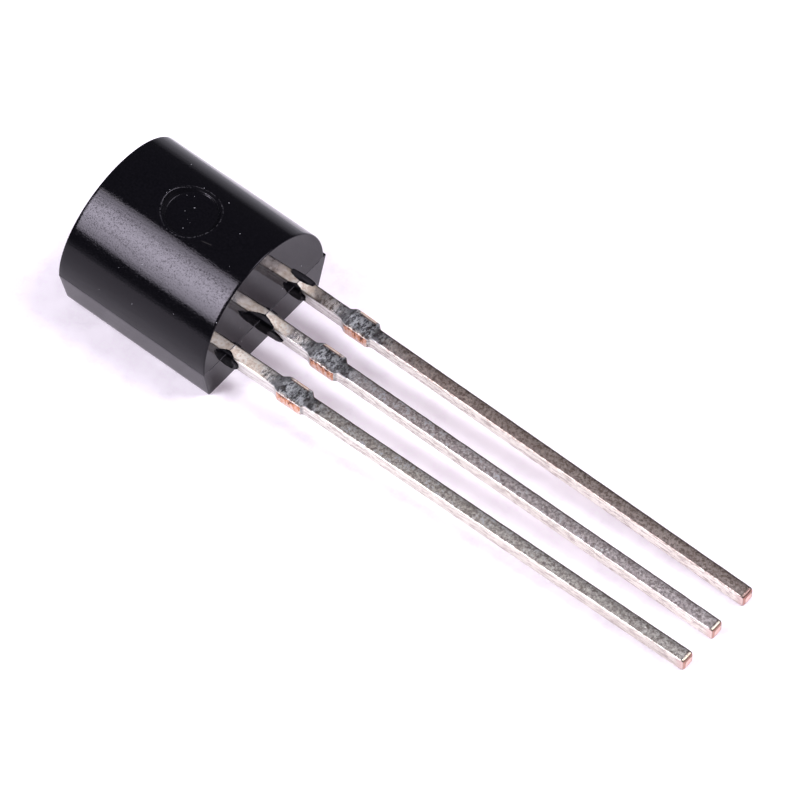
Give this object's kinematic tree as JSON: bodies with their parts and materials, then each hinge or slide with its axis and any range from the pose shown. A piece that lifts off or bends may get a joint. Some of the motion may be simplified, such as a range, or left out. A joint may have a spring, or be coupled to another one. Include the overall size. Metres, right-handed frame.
{
  "type": "through-hole transistor in a TO-92 case",
  "caption": "Small transistor: a D-shaped black moulded case with tinned copper leads in a row, for soldering into a board.",
  "frame": {"origin": "centre of the flat face that the case lies on", "axes": "+X along the leads towards their tips, +Z from the flat face towards the round side, +Y towards the emitter lead"},
  "size_m": [0.0183, 0.0046, 0.0034],
  "materials": {
    "moulded_epoxy": "glossy black moulded epoxy",
    "tinned_copper": "hot-dipped tin over copper, speckled, bare copper on the sheared faces",
    "silicon": "polished",
    "die_solder": "satin",
    "gold_wire": "bright"
  },
  "bodies": {
    "root": {"case": "moulded_epoxy", "emitter_lead": "tinned_copper", "collector_lead": "tinned_copper", "base_lead": "tinned_copper", "die": "silicon", "die_attach": "die_solder", "emitter_wire": "gold_wire", "base_wire": "gold_wire"}
  },
  "joints": []
}
